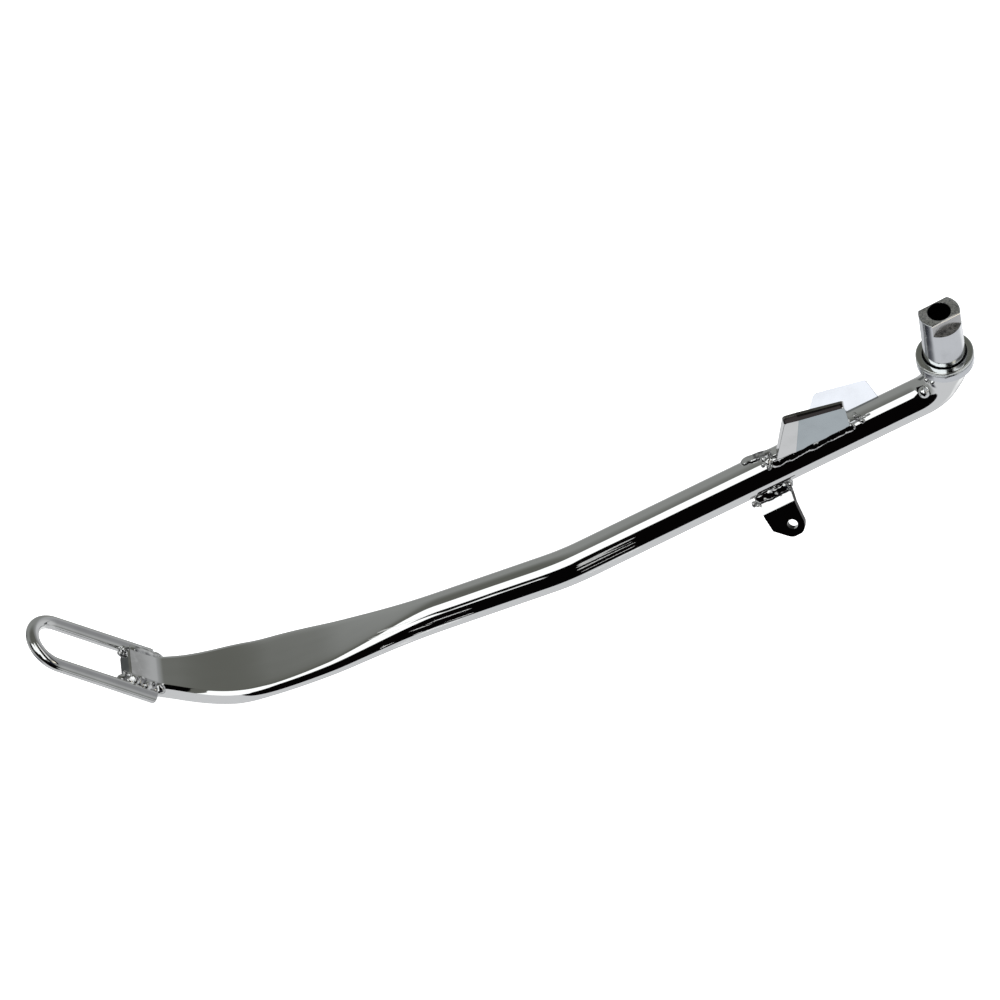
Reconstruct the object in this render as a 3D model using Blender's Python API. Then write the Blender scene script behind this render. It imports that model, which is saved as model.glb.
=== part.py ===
"""Motorcycle kickstand: a bent steel leg with a turned pivot post and a welded foot loop.

Frame: the origin is on the pivot axis, in the plane of the thrust washer's upper face, on
which the motorcycle's bracket bears. +Z runs up the pivot post. The leg lies in the XZ
plane and runs out and down towards -X. +Y is the far side and -Y is the near side.
Lengths are in metres and angles in degrees.
"""
import math

import bmesh
import bpy
from mathutils import Vector

# Gap between separate pieces that touch on the real part.
GAP = 0.0003

# Round bar of the leg, 5/8 inch.
BAR_DIAMETER = 0.015875
BAR_RADIUS = BAR_DIAMETER / 2

# Pivot post, turned from one piece with its shoulder.
POST_DIAMETER = 0.0175
POST_HEIGHT = 0.0254
POST_CHAMFER = 0.0006
POST_BORE_DIAMETER = 0.0095
POST_BORE_DEPTH = 0.021
FLATS_WIDTH = 0.0113
FLATS_HEIGHT = 0.0062
FLATS_TURN = 26.3
SHOULDER_DIAMETER = 0.0242
SHOULDER_HEIGHT = 0.0034
SHOULDER_CHAMFER = 0.0005

# Loose thrust washer round the post.
WASHER_DIAMETER = 0.0242
WASHER_BORE = 0.0182
WASHER_THICKNESS = 0.0015

# Leg: depth of the elbow's corner below the bearing face, then each straight run as
# (length, pitch below horizontal, radius of the bend at the run's start).
ELBOW_DEPTH = 0.0193
LEG_RUNS = (
    (0.1864, 27.7, 0.0225),
    (0.1043, 18.3, 0.110),
    (0.0485, 14.3, 0.150),
    (0.0283, -13.9, 0.080),
    (0.0152, -35.5, 0.012),
)
ELBOW_SWELL = 0.0030
ELBOW_SWELL_LENGTH = 0.012

# Flattened paddle, measured back from the leg's toe end.
PADDLE_WIDTH = 0.0285
PADDLE_FULL_AT = 0.062
PADDLE_START_AT = 0.140
TOE_WIDTH = 0.0168
TOE_NARROW_FROM = 0.055
TOE_NARROW_TO = 0.010

# Foot loop: a round rod bent to a U, welded by its two legs to the paddle's sides.
ROD_DIAMETER = 0.0056
LOOP_STRAIGHT = 0.0462
LOOP_RADIUS = 0.0115
LOOP_PITCH = 35.5
LOOP_SETBACK = 0.0015
LOOP_DROP = 0.0004

# Stop wings: station of each outline corner along the leg from the elbow's corner, and
# its height above the leg's axis, in the plane of the plate.
WING_THICKNESS = 0.0037
WING_EDGE_ROUND = 0.0007
WING_SEAT = BAR_RADIUS + GAP
NEAR_WING_TILT = -8.0
NEAR_WING_OFFSET = -0.00223
NEAR_WING = ((0.0810, WING_SEAT), (0.0632, 0.0287), (0.0386, 0.0214), (0.0444, WING_SEAT))
FAR_WING_TILT = 57.0
FAR_WING_OFFSET = 0.0
FAR_WING = ((0.0682, WING_SEAT), (0.0566, 0.0204), (0.0331, 0.0163), (0.0304, WING_SEAT))

# Spring tab: a bent plate below the leg whose ear takes the spring's hook.
TAB_THICKNESS = 0.0030
TAB_WIDTH = 0.0152
TAB_STATION = 0.0910
TAB_SIDE = -45.0
TAB_BEND = 20.0
TAB_BEND_RADIUS = 0.0020
TAB_ROOT = 0.0086
TAB_ROOT_DEPTH = -0.0030
TAB_FLANGE = 0.0082
TAB_EAR = 0.0133
TAB_HOLE_DIAMETER = 0.0044
TAB_HOLE_ALONG = 0.0090
TAB_HOLE_DROP = 0.0080
TAB_EAR_RADIUS = 0.0056
TAB_EAR_INSET = 0.0011
TAB_SHORT_SIDE = 0.0072

# Weld beads: how far the bead's centre stands off both faces of its corner, and its shape.
BEAD_RADIUS = 0.0024
BEAD_STANDOFF = 0.0010
BEAD_STEP = 0.0014
BEAD_SIDES = 10
BEAD_CREASE = 50.0
POST_SEAM_LEG = 0.0013

# First and last station of each wing's seam along the leg, from the elbow's corner.
NEAR_FRONT_SEAM = (0.0842, 0.0408)
NEAR_BACK_SEAM = (0.0880, 0.0450)
FAR_SEAM = (0.0700, 0.0300)

# Tab seams as (drop below the leg's axis, distance towards the tab's front).
TAB_FRONT_SEAM = (0.0100, 0.0006)
TAB_BACK_SEAM = (0.0092, -0.0054)
TAB_SEAM_OVERHANG = 0.0014

# Foot loop's seams as (outward, across, up) from its rod's ends. The far one goes on
# round the toe's corner.
LOOP_SEAM = ((0.0005, 0.0090, 0.0030), (0.0125, 0.0086, 0.0030))
TOE_CORNER_SEAM = ((0.0146, 0.0080, 0.0010), (0.0148, 0.0066, -0.0012))

CHROME = (0.62, 0.63, 0.62, 1.0)
MACHINED_STEEL = (0.45, 0.46, 0.47, 1.0)
DARK_STEEL = (0.20, 0.21, 0.21, 1.0)
WELD_CHROME = (0.50, 0.51, 0.50, 1.0)

ACROSS = Vector((0.0, 1.0, 0.0))


# ---------------------------------------------------------------- scene and materials

def clear_scene():
    for scene_object in list(bpy.data.objects):
        bpy.data.objects.remove(scene_object, do_unlink=True)


def make_material(name, color, roughness, metallic=1.0):
    material = bpy.data.materials.new(name)
    material.use_nodes = True
    shader = material.node_tree.nodes["Principled BSDF"]
    shader.inputs["Base Color"].default_value = color
    shader.inputs["Roughness"].default_value = roughness
    shader.inputs["Metallic"].default_value = metallic
    return material


def make_object(name, mesh_data, material=None):
    """Turn a bmesh into a named object, with its faces pointing out."""
    bmesh.ops.recalc_face_normals(mesh_data, faces=mesh_data.faces[:])
    mesh = bpy.data.meshes.new(name)
    mesh_data.to_mesh(mesh)
    mesh_data.free()
    result = bpy.data.objects.new(name, mesh)
    bpy.context.scene.collection.objects.link(result)
    if material:
        mesh.materials.append(material)
    return result


def smooth_round(scene_object, angle=35.0):
    scene_object.data.shade_smooth()
    scene_object.data.set_sharp_from_angle(angle=math.radians(angle))


def hide_tool(tool):
    tool.hide_render = True
    tool.display_type = "WIRE"


def cut_away(body, tool, operation="DIFFERENCE"):
    """Apply one exact Boolean of a hidden tool to a body."""
    hide_tool(tool)
    modifier = body.modifiers.new(operation.lower() + "_" + tool.name, "BOOLEAN")
    modifier.operation = operation
    modifier.solver = "EXACT"
    modifier.object = tool


# ---------------------------------------------------------------- mesh builders

def loft(rings):
    """Skin a closed tube through rings with equal point counts, and cap both ends."""
    mesh_data = bmesh.new()
    loops = [[mesh_data.verts.new(point) for point in ring] for ring in rings]
    count = len(loops[0])
    for lower, upper in zip(loops, loops[1:]):
        for index in range(count):
            following = (index + 1) % count
            mesh_data.faces.new((lower[index], lower[following], upper[following], upper[index]))
    mesh_data.faces.new(list(reversed(loops[0])))
    mesh_data.faces.new(loops[-1])
    return mesh_data


def turn(profile, sides=48):
    """Turn a closed (radius, height) outline about +Z; radius 0 makes one centre point."""
    mesh_data = bmesh.new()
    rings = []
    for radius, height in profile:
        if radius == 0.0:
            rings.append([mesh_data.verts.new((0.0, 0.0, height))])
            continue
        ring = []
        for index in range(sides):
            angle = 2 * math.pi * index / sides
            ring.append(mesh_data.verts.new((radius * math.cos(angle), radius * math.sin(angle), height)))
        rings.append(ring)
    for first, second in zip(rings, rings[1:] + rings[:1]):
        if len(first) == 1 and len(second) == 1:
            continue
        for index in range(sides):
            following = (index + 1) % sides
            corners = [first[index % len(first)], first[following % len(first)],
                       second[following % len(second)], second[index % len(second)]]
            mesh_data.faces.new(list(dict.fromkeys(corners)))
    return mesh_data


def prism(outline, direction):
    """Extrude a flat outline of points by a vector."""
    mesh_data = bmesh.new()
    face = mesh_data.faces.new([mesh_data.verts.new(point) for point in outline])
    grown = bmesh.ops.extrude_face_region(mesh_data, geom=[face])
    moved = [item for item in grown["geom"] if isinstance(item, bmesh.types.BMVert)]
    bmesh.ops.translate(mesh_data, verts=moved, vec=direction)
    return mesh_data


def ring_around(centre, side, up, half_width, half_height, count):
    """Closed section: a circle, or a strip with round edges where it is wider than high."""
    points = []
    for index in range(count):
        angle = 2 * math.pi * (index + 0.5) / count
        across = half_height * math.cos(angle)
        across += math.copysign(half_width - half_height, math.cos(angle))
        points.append(centre + side * across + up * (half_height * math.sin(angle)))
    return points


def smooth_step(value, start, end):
    ratio = min(max((value - start) / (end - start), 0.0), 1.0)
    return ratio * ratio * (3 - 2 * ratio)


# ---------------------------------------------------------------- leg geometry

def pitch_direction(pitch):
    """Unit vector towards -X that falls by the pitch angle."""
    angle = math.radians(pitch)
    return Vector((-math.cos(angle), 0.0, -math.sin(angle)))


def bend_points(corner, incoming, outgoing, radius, step=5.0):
    """Points of the arc that rounds a corner of the path."""
    turn_angle = incoming.angle(outgoing)
    setback = radius * math.tan(turn_angle / 2)
    start = corner - incoming * setback
    centre_side = (outgoing - incoming * incoming.dot(outgoing)).normalized()
    centre = start + centre_side * radius
    count = max(2, math.ceil(math.degrees(turn_angle) / step))
    points = []
    for index in range(count + 1):
        angle = turn_angle * index / count
        points.append(centre - centre_side * (radius * math.cos(angle)) + incoming * (radius * math.sin(angle)))
    return points


def leg_centreline():
    """Centreline from the shoulder's underside to the toe end."""
    corner = Vector((0.0, 0.0, -ELBOW_DEPTH))
    incoming = Vector((0.0, 0.0, -1.0))
    points = [Vector((0.0, 0.0, LEG_TOP))]
    for length, pitch, radius in LEG_RUNS:
        outgoing = pitch_direction(pitch)
        points += bend_points(corner, incoming, outgoing, radius)
        corner = corner + outgoing * length
        incoming = outgoing
    points.append(corner)
    return points


def refine(points, longest):
    """Split every stretch of a path that is longer than the given length."""
    result = [points[0]]
    for start, end in zip(points, points[1:]):
        count = max(1, math.ceil((end - start).length / longest))
        result += [start.lerp(end, (index + 1) / count) for index in range(count)]
    return result


def path_frames(points):
    """Distance from the start and direction at each point of a path."""
    distances = [0.0]
    for start, end in zip(points, points[1:]):
        distances.append(distances[-1] + (end - start).length)
    directions = []
    for index in range(len(points)):
        before = points[max(index - 1, 0)]
        after = points[min(index + 1, len(points) - 1)]
        directions.append((after - before).normalized())
    return distances, directions


def leg_section(from_top, from_toe):
    """Width and thickness of the leg where it is this far from its ends."""
    swell = ELBOW_SWELL * (1 - smooth_step(from_top, 0.0, ELBOW_SWELL_LENGTH))
    flattening = 1 - smooth_step(from_toe, PADDLE_FULL_AT, PADDLE_START_AT)
    forged_width = BAR_DIAMETER + (PADDLE_WIDTH - BAR_DIAMETER) * flattening
    # The forged section keeps the round bar's area: a strip of this thickness, round edges.
    bar_area = math.pi * BAR_RADIUS ** 2
    corner_loss = 1 - math.pi / 4
    root = math.sqrt(forged_width ** 2 - 4 * corner_loss * bar_area)
    thickness = (forged_width - root) / (2 * corner_loss)
    toe_trim = (PADDLE_WIDTH - TOE_WIDTH) * (1 - smooth_step(from_toe, TOE_NARROW_TO, TOE_NARROW_FROM))
    return forged_width - toe_trim + swell, thickness + swell


def leg_mesh(grow=0.0):
    points = refine(leg_centreline(), 0.006)
    distances, directions = path_frames(points)
    total = distances[-1]
    rings = []
    for point, distance, direction in zip(points, distances, directions):
        width, thickness = leg_section(distance, total - distance)
        up = ACROSS.cross(direction)
        rings.append(ring_around(point, ACROSS, up, width / 2 + grow, thickness / 2 + grow, 28))
    if grow:
        rings[0] = [point - directions[0] * grow for point in rings[0]]
        rings[-1] = [point + directions[-1] * grow for point in rings[-1]]
    return loft(rings)


def leg_corner(index):
    """Corner of the leg's path before the run with this index; one past the last is the toe."""
    corner = Vector((0.0, 0.0, -ELBOW_DEPTH))
    for length, pitch, _ in LEG_RUNS[:index]:
        corner = corner + pitch_direction(pitch) * length
    return corner


def upper_leg_axes():
    """Outward, across and up directions of the leg's first straight run."""
    outward = pitch_direction(LEG_RUNS[0][1])
    return outward, ACROSS, ACROSS.cross(outward)


def tilted(angle):
    """Upright and sideways directions in the upper leg's cross-section, tilted to +Y."""
    _, side, up = upper_leg_axes()
    tilt = math.radians(angle)
    upright = up * math.cos(tilt) + side * math.sin(tilt)
    sideways = side * math.cos(tilt) - up * math.sin(tilt)
    return upright, sideways


# ---------------------------------------------------------------- pieces

SHOULDER_TOP = -(WASHER_THICKNESS + GAP)
SHOULDER_BOTTOM = SHOULDER_TOP - SHOULDER_HEIGHT
LEG_TOP = SHOULDER_BOTTOM - GAP


def build_leg_bar(material):
    leg = make_object("leg_bar", leg_mesh(), material)
    smooth_round(leg)
    return leg


def build_pivot_post(material):
    radius = POST_DIAMETER / 2
    shoulder = SHOULDER_DIAMETER / 2
    bore = POST_BORE_DIAMETER / 2
    drill_tip = bore * math.tan(math.radians(31))
    profile = (
        (0.0, SHOULDER_BOTTOM),
        (shoulder - SHOULDER_CHAMFER, SHOULDER_BOTTOM),
        (shoulder, SHOULDER_BOTTOM + SHOULDER_CHAMFER),
        (shoulder, SHOULDER_TOP - SHOULDER_CHAMFER),
        (shoulder - SHOULDER_CHAMFER, SHOULDER_TOP),
        (radius, SHOULDER_TOP),
        (radius, POST_HEIGHT - POST_CHAMFER),
        (radius - POST_CHAMFER, POST_HEIGHT),
        (bore + POST_CHAMFER, POST_HEIGHT),
        (bore, POST_HEIGHT - POST_CHAMFER),
        (bore, POST_HEIGHT - POST_BORE_DEPTH),
        (0.0, POST_HEIGHT - POST_BORE_DEPTH - drill_tip),
    )
    post = make_object("pivot_post", turn(profile), material)
    turn_angle = math.radians(FLATS_TURN)
    along = Vector((math.cos(turn_angle), math.sin(turn_angle), 0.0))
    outward = Vector((math.sin(turn_angle), -math.cos(turn_angle), 0.0))
    for name, direction in (("near_flat_cutter", outward), ("far_flat_cutter", -outward)):
        corner = direction * (FLATS_WIDTH / 2) - along * radius * 1.5
        corner.z = POST_HEIGHT - FLATS_HEIGHT
        outline = (corner, corner + along * radius * 3,
                   corner + along * radius * 3 + direction * radius, corner + direction * radius)
        cutter = make_object(name, prism(outline, Vector((0.0, 0.0, FLATS_HEIGHT * 2))))
        cut_away(post, cutter)
    smooth_round(post)
    return post


def build_thrust_washer(material):
    outer = WASHER_DIAMETER / 2
    inner = WASHER_BORE / 2
    edge = WASHER_THICKNESS / 5
    profile = (
        (inner, -WASHER_THICKNESS),
        (outer - edge, -WASHER_THICKNESS),
        (outer, edge - WASHER_THICKNESS),
        (outer, -edge),
        (outer - edge, 0.0),
        (inner, 0.0),
    )
    washer = make_object("thrust_washer", turn(profile), material)
    smooth_round(washer)
    return washer


def loop_axes():
    """Start point between the rod's ends, outward direction and upward normal of the loop."""
    outward = pitch_direction(-LOOP_PITCH)
    normal = ACROSS.cross(outward)
    start = leg_corner(len(LEG_RUNS) - 1) + outward * LOOP_SETBACK - normal * LOOP_DROP
    return start, outward, normal


def loop_path():
    start, outward, _ = loop_axes()
    centre = start + outward * LOOP_STRAIGHT
    points = [start - ACROSS * LOOP_RADIUS]
    steps = 16
    for index in range(steps + 1):
        angle = math.pi * index / steps
        points.append(centre - ACROSS * (LOOP_RADIUS * math.cos(angle)) + outward * (LOOP_RADIUS * math.sin(angle)))
    points.append(start + ACROSS * LOOP_RADIUS)
    return points


def loop_mesh(grow=0.0):
    _, _, normal = loop_axes()
    radius = ROD_DIAMETER / 2 + grow
    points = loop_path()
    _, directions = path_frames(points)
    rings = []
    for point, direction in zip(points, directions):
        rings.append(ring_around(point, direction.cross(normal), normal, radius, radius, 16))
    if grow:
        rings[0] = [point - directions[0] * grow for point in rings[0]]
        rings[-1] = [point + directions[-1] * grow for point in rings[-1]]
    return loft(rings)


def build_foot_loop(material):
    loop = make_object("foot_loop", loop_mesh(), material)
    smooth_round(loop)
    return loop


def wing_mesh(corners, tilt, offset, grow=0.0):
    upright, sideways = tilted(tilt)
    outward, _, _ = upper_leg_axes()
    middle = sum(station for station, _ in corners) / len(corners)
    top = max(height for _, height in corners)
    base = leg_corner(0) + sideways * (offset - WING_THICKNESS / 2 - grow)
    outline = []
    for station, height in corners:
        wider = math.copysign(grow, station - middle)
        taller = math.copysign(grow, height - top / 2)
        outline.append(base + outward * (station + wider) + upright * (height + taller))
    return prism(outline, sideways * (WING_THICKNESS + 2 * grow))


def build_wing(name, corners, tilt, offset, material):
    wing = make_object(name, wing_mesh(corners, tilt, offset), material)
    bevel = wing.modifiers.new("rounded_edges", "BEVEL")
    bevel.width = WING_EDGE_ROUND
    bevel.segments = 2
    bevel.limit_method = "ANGLE"
    smooth_round(wing)
    return wing


def tab_axes():
    """Directions of the tab: along the leg, down across it, and out of its front face."""
    outward, _, _ = upper_leg_axes()
    facing, _ = tilted(TAB_SIDE)
    down = outward.cross(facing)
    if down.z > 0:
        down = -down
    return outward, down, facing


def tab_profile(grow=0.0):
    """Side view of the bent plate as (drop below the leg's axis, distance towards its front)."""
    half = TAB_THICKNESS / 2 + grow
    lean = math.radians(TAB_BEND)
    fold_drop = TAB_ROOT + TAB_FLANGE * math.cos(lean)
    fold_front = TAB_ROOT_DEPTH + TAB_FLANGE * math.sin(lean)
    middle = [(TAB_ROOT, TAB_ROOT_DEPTH, lean)]
    steps = 6
    bend = TAB_BEND_RADIUS + TAB_THICKNESS / 2
    setback = bend * math.tan(lean)
    for index in range(steps + 1):
        angle = lean - 2 * lean * index / steps
        reach = bend * math.sin(angle)
        rise = bend * (math.cos(angle) - 1 / math.cos(lean))
        middle.append((fold_drop - reach, fold_front + rise, angle))
    ear_length = TAB_EAR - setback
    last_drop, last_front, _ = middle[-1]
    middle.append((last_drop + ear_length * math.cos(lean), last_front - ear_length * math.sin(lean), -lean))
    front = [(drop - half * math.sin(angle), depth + half * math.cos(angle)) for drop, depth, angle in middle]
    back = [(drop + half * math.sin(angle), depth - half * math.cos(angle)) for drop, depth, angle in middle]
    return front + list(reversed(back))


def tab_point(along, drop, front):
    outward, down, facing = tab_axes()
    return leg_corner(0) + outward * (TAB_STATION + along) + down * drop + facing * front


def ear_point(along, drop, front=0.0):
    """Point in the ear's own plane, measured from the fold."""
    lean = math.radians(TAB_BEND)
    fold_drop = TAB_ROOT + TAB_FLANGE * math.cos(lean)
    fold_front = TAB_ROOT_DEPTH + TAB_FLANGE * math.sin(lean)
    drop_all = fold_drop + drop * math.cos(lean) + front * math.sin(lean)
    front_all = fold_front - drop * math.sin(lean) + front * math.cos(lean)
    return tab_point(along, drop_all, front_all)


def ear_outline():
    """Ear outline (along, drop): straight side, round end about the hole, slanted corner."""
    half = TAB_WIDTH / 2
    centre_along = half - TAB_EAR_INSET - TAB_EAR_RADIUS
    centre_drop = TAB_HOLE_DROP
    points = [(half, -TAB_FLANGE * 2), (half, 0.0)]
    short_corner = (-half, TAB_SHORT_SIDE)
    distance = math.hypot(short_corner[0] - centre_along, short_corner[1] - centre_drop)
    towards = math.atan2(short_corner[1] - centre_drop, short_corner[0] - centre_along) % (2 * math.pi)
    tangent = towards - math.acos(TAB_EAR_RADIUS / distance)
    steps = 20
    for index in range(steps + 1):
        angle = tangent * index / steps
        points.append((centre_along + TAB_EAR_RADIUS * math.cos(angle),
                       centre_drop + TAB_EAR_RADIUS * math.sin(angle)))
    points.append(short_corner)
    points.append((-half, -TAB_FLANGE * 2))
    # The leg's outward direction runs from the ear's round side to its slanted one.
    return [(-along, drop) for along, drop in points]


def build_spring_tab(material):
    outward, _, _ = tab_axes()
    side_view = [tab_point(-TAB_WIDTH / 2, drop, front) for drop, front in tab_profile()]
    tab = make_object("spring_tab", prism(side_view, outward * TAB_WIDTH), material)
    reach = 0.012
    outline = [ear_point(along, drop, -reach) for along, drop in ear_outline()]
    through = ear_point(0.0, 0.0, reach) - ear_point(0.0, 0.0, -reach)
    trim = make_object("tab_outline_tool", prism(outline, through))
    cut_away(tab, trim, "INTERSECT")
    hole_along = TAB_WIDTH / 2 - TAB_HOLE_ALONG
    hole = []
    for index in range(24):
        angle = 2 * math.pi * index / 24
        hole.append(ear_point(hole_along + TAB_HOLE_DIAMETER / 2 * math.cos(angle),
                              TAB_HOLE_DROP + TAB_HOLE_DIAMETER / 2 * math.sin(angle), -reach))
    drill = make_object("tab_hole_tool", prism(hole, through))
    cut_away(tab, drill)
    smooth_round(tab)
    return tab


# ---------------------------------------------------------------- weld beads

def bead_mesh(points, radius=BEAD_RADIUS):
    """Round bead along a path, with rounded ends."""
    points = refine(points, BEAD_STEP)
    distances, directions = path_frames(points)
    total = distances[-1]
    rings = []
    for point, distance, direction in zip(points, distances, directions):
        from_end = min(distance, total - distance)
        fraction = min(from_end / radius, 1.0)
        local = radius * max(math.sqrt(1 - (1 - fraction) ** 2), 0.25)
        side = direction.orthogonal().normalized()
        rings.append(ring_around(point, side, direction.cross(side), local, local, BEAD_SIDES))
    return loft(rings)


def build_bead(name, points, tools, material, radius=BEAD_RADIUS):
    """Bead that fills a corner: a round bar of filler less the grown pieces beside it."""
    bead = make_object(name, bead_mesh(points, radius), material)
    for tool in tools:
        cut_away(bead, tool)
    smooth_round(bead, BEAD_CREASE)
    return bead


def wing_seam(tilt, face_offset, side, stations):
    """Bead centreline in the corner between the bar and one face of a wing."""
    upright, sideways = tilted(tilt)
    outward, _, _ = upper_leg_axes()
    across = face_offset + side * (WING_THICKNESS / 2 + BEAD_STANDOFF)
    height = math.sqrt((BAR_RADIUS + BEAD_STANDOFF) ** 2 - across ** 2)
    base = leg_corner(0) + sideways * across + upright * height
    return [base + outward * station for station in stations]


def loop_point(along, across, height):
    start, outward, normal = loop_axes()
    return start + outward * along + ACROSS * across + normal * height


def build_post_seam(material):
    """Fillet weld round the leg's swelled end, under the post's shoulder."""
    inner = BAR_RADIUS + ELBOW_SWELL / 2 + GAP
    top = SHOULDER_BOTTOM - GAP
    profile = (
        (inner, top),
        (inner, top - POST_SEAM_LEG),
        (inner + POST_SEAM_LEG * 0.38, top - POST_SEAM_LEG * 0.42),
        (inner + POST_SEAM_LEG, top),
    )
    seam = make_object("post_seam_weld", turn(profile), material)
    smooth_round(seam, BEAD_CREASE)
    return seam


def build_welds(material):
    leg_tool = make_object("leg_tool", leg_mesh(GAP))
    loop_tool = make_object("loop_tool", loop_mesh(GAP))
    near_tool = make_object("near_wing_tool", wing_mesh(NEAR_WING, NEAR_WING_TILT, NEAR_WING_OFFSET, GAP))
    far_tool = make_object("far_wing_tool", wing_mesh(FAR_WING, FAR_WING_TILT, FAR_WING_OFFSET, GAP))
    outward, _, _ = tab_axes()
    side_view = [tab_point(-TAB_WIDTH / 2 - GAP, drop, front) for drop, front in tab_profile(GAP)]
    tab_tool = make_object("tab_tool", prism(side_view, outward * (TAB_WIDTH + 2 * GAP)))

    build_post_seam(material)
    seams = (
        ("near_wing_front_weld", NEAR_WING_TILT, NEAR_WING_OFFSET, -1, NEAR_FRONT_SEAM, near_tool),
        ("near_wing_back_weld", NEAR_WING_TILT, NEAR_WING_OFFSET, 1, NEAR_BACK_SEAM, near_tool),
        ("far_wing_weld", FAR_WING_TILT, FAR_WING_OFFSET, 1, FAR_SEAM, far_tool),
    )
    for name, tilt, offset, side, stations, plate_tool in seams:
        points = wing_seam(tilt, offset, side, stations)
        build_bead(name, points, (leg_tool, plate_tool), material)

    reach = TAB_WIDTH / 2 + TAB_SEAM_OVERHANG
    for name, (drop, front) in (("tab_front_weld", TAB_FRONT_SEAM), ("tab_back_weld", TAB_BACK_SEAM)):
        points = (tab_point(-reach, drop, front), tab_point(reach, drop, front))
        build_bead(name, points, (leg_tool, tab_tool), material)

    loop_seams = (
        ("loop_near_weld", -1, LOOP_SEAM),
        ("loop_far_weld", 1, LOOP_SEAM + TOE_CORNER_SEAM),
    )
    for name, side, path in loop_seams:
        points = [loop_point(along, side * across, height) for along, across, height in path]
        build_bead(name, points, (leg_tool, loop_tool), material)


def main():
    clear_scene()
    chrome = make_material("chrome", CHROME, 0.08)
    machined = make_material("machined_steel", MACHINED_STEEL, 0.28)
    dark = make_material("dark_steel", DARK_STEEL, 0.22)
    weld = make_material("weld_chrome", WELD_CHROME, 0.15)
    build_leg_bar(chrome)
    build_pivot_post(machined)
    build_thrust_washer(dark)
    build_foot_loop(chrome)
    build_wing("near_stop_wing", NEAR_WING, NEAR_WING_TILT, NEAR_WING_OFFSET, chrome)
    build_wing("far_stop_wing", FAR_WING, FAR_WING_TILT, FAR_WING_OFFSET, chrome)
    build_spring_tab(chrome)
    build_welds(weld)


main()
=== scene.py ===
"""Looks, camera and light for the motorcycle kickstand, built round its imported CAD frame.

Frame: the origin is on the pivot axis in the thrust washer's upper face, +Z runs up the
pivot post, the leg lies in the XZ plane towards -X, and -Y is the near side. Lengths are in
metres and angles in degrees.
"""
import math

import bmesh
import bpy
from mathutils import Matrix, Vector, noise


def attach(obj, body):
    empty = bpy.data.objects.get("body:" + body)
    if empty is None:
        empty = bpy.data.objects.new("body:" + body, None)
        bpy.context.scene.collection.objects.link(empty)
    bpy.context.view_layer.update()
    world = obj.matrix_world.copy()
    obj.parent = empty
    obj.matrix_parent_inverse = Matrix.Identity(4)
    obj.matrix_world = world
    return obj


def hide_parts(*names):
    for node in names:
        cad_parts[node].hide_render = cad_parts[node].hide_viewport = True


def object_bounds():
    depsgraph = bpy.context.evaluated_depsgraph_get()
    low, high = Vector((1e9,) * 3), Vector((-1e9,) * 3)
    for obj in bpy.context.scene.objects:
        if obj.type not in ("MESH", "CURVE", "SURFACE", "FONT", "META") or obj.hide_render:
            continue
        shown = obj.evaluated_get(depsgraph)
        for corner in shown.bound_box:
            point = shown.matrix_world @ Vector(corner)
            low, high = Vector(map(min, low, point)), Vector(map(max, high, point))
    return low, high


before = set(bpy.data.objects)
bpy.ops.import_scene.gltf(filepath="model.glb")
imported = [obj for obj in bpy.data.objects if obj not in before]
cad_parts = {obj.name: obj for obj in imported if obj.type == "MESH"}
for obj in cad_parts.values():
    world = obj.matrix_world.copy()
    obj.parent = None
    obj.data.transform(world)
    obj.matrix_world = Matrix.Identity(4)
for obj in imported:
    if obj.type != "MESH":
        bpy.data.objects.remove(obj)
CAD_LOW, CAD_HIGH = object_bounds()

LEG_BODY = "leg"
WASHER_BODY = "washer"
ACROSS = Vector((0.0, 1.0, 0.0))

# Driving sizes of the steel, the same as the CAD's.
BAR_RADIUS = 0.015875 / 2
POST_RADIUS = 0.0175 / 2
POST_HEIGHT = 0.0254
BORE_RADIUS = 0.0095 / 2
BORE_DEPTH = 0.021
FLATS_WIDTH = 0.0113
FLATS_HEIGHT = 0.0062
FLATS_TURN = 26.3
SHOULDER_RADIUS = 0.0242 / 2
SHOULDER_TOP = -0.0018
SHOULDER_BOTTOM = -0.0052
WASHER_RADIUS = 0.0242 / 2
WASHER_BORE_RADIUS = 0.0182 / 2
WASHER_THICKNESS = 0.0015
ELBOW_DEPTH = 0.0193
# Straight runs from the post: length, pitch below level, and radius of the bend before it.
LEG_RUNS = (
    (0.1864, 27.7, 0.0225),
    (0.1043, 18.3, 0.110),
    (0.0485, 14.3, 0.150),
    (0.0283, -13.9, 0.080),
    (0.0152, -35.5, 0.012),
)
ELBOW_SWELL = 0.0030
ELBOW_SWELL_LENGTH = 0.012
PADDLE_WIDTH = 0.0285
PADDLE_FULL_AT = 0.062
PADDLE_START_AT = 0.140
TOE_WIDTH = 0.0168
TOE_NARROW_FROM = 0.055
TOE_NARROW_TO = 0.010
ROD_RADIUS = 0.0056 / 2
LOOP_STRAIGHT = 0.0462
LOOP_RADIUS = 0.0115
LOOP_PITCH = 35.5
LOOP_SETBACK = 0.0015
LOOP_DROP = 0.0004
WING_THICKNESS = 0.0037
NEAR_WING_TILT = -8.0
NEAR_WING_OFFSET = -0.00223
FAR_WING_TILT = 57.0
TAB_STATION = 0.0910
TAB_SIDE = -45.0

# How the paddle's edges were forged and ground.
EDGE_BLUNTNESS = 0.36
EDGE_QUICKNESS = 9.0
GRIND_FULL_AT = 0.045
GRIND_START_AT = 0.066
BEVEL_RUN = 0.0017
BEVEL_DROP = 0.0009
BEVEL_FROM = 0.70
BEVEL_TO = 0.90

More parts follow.
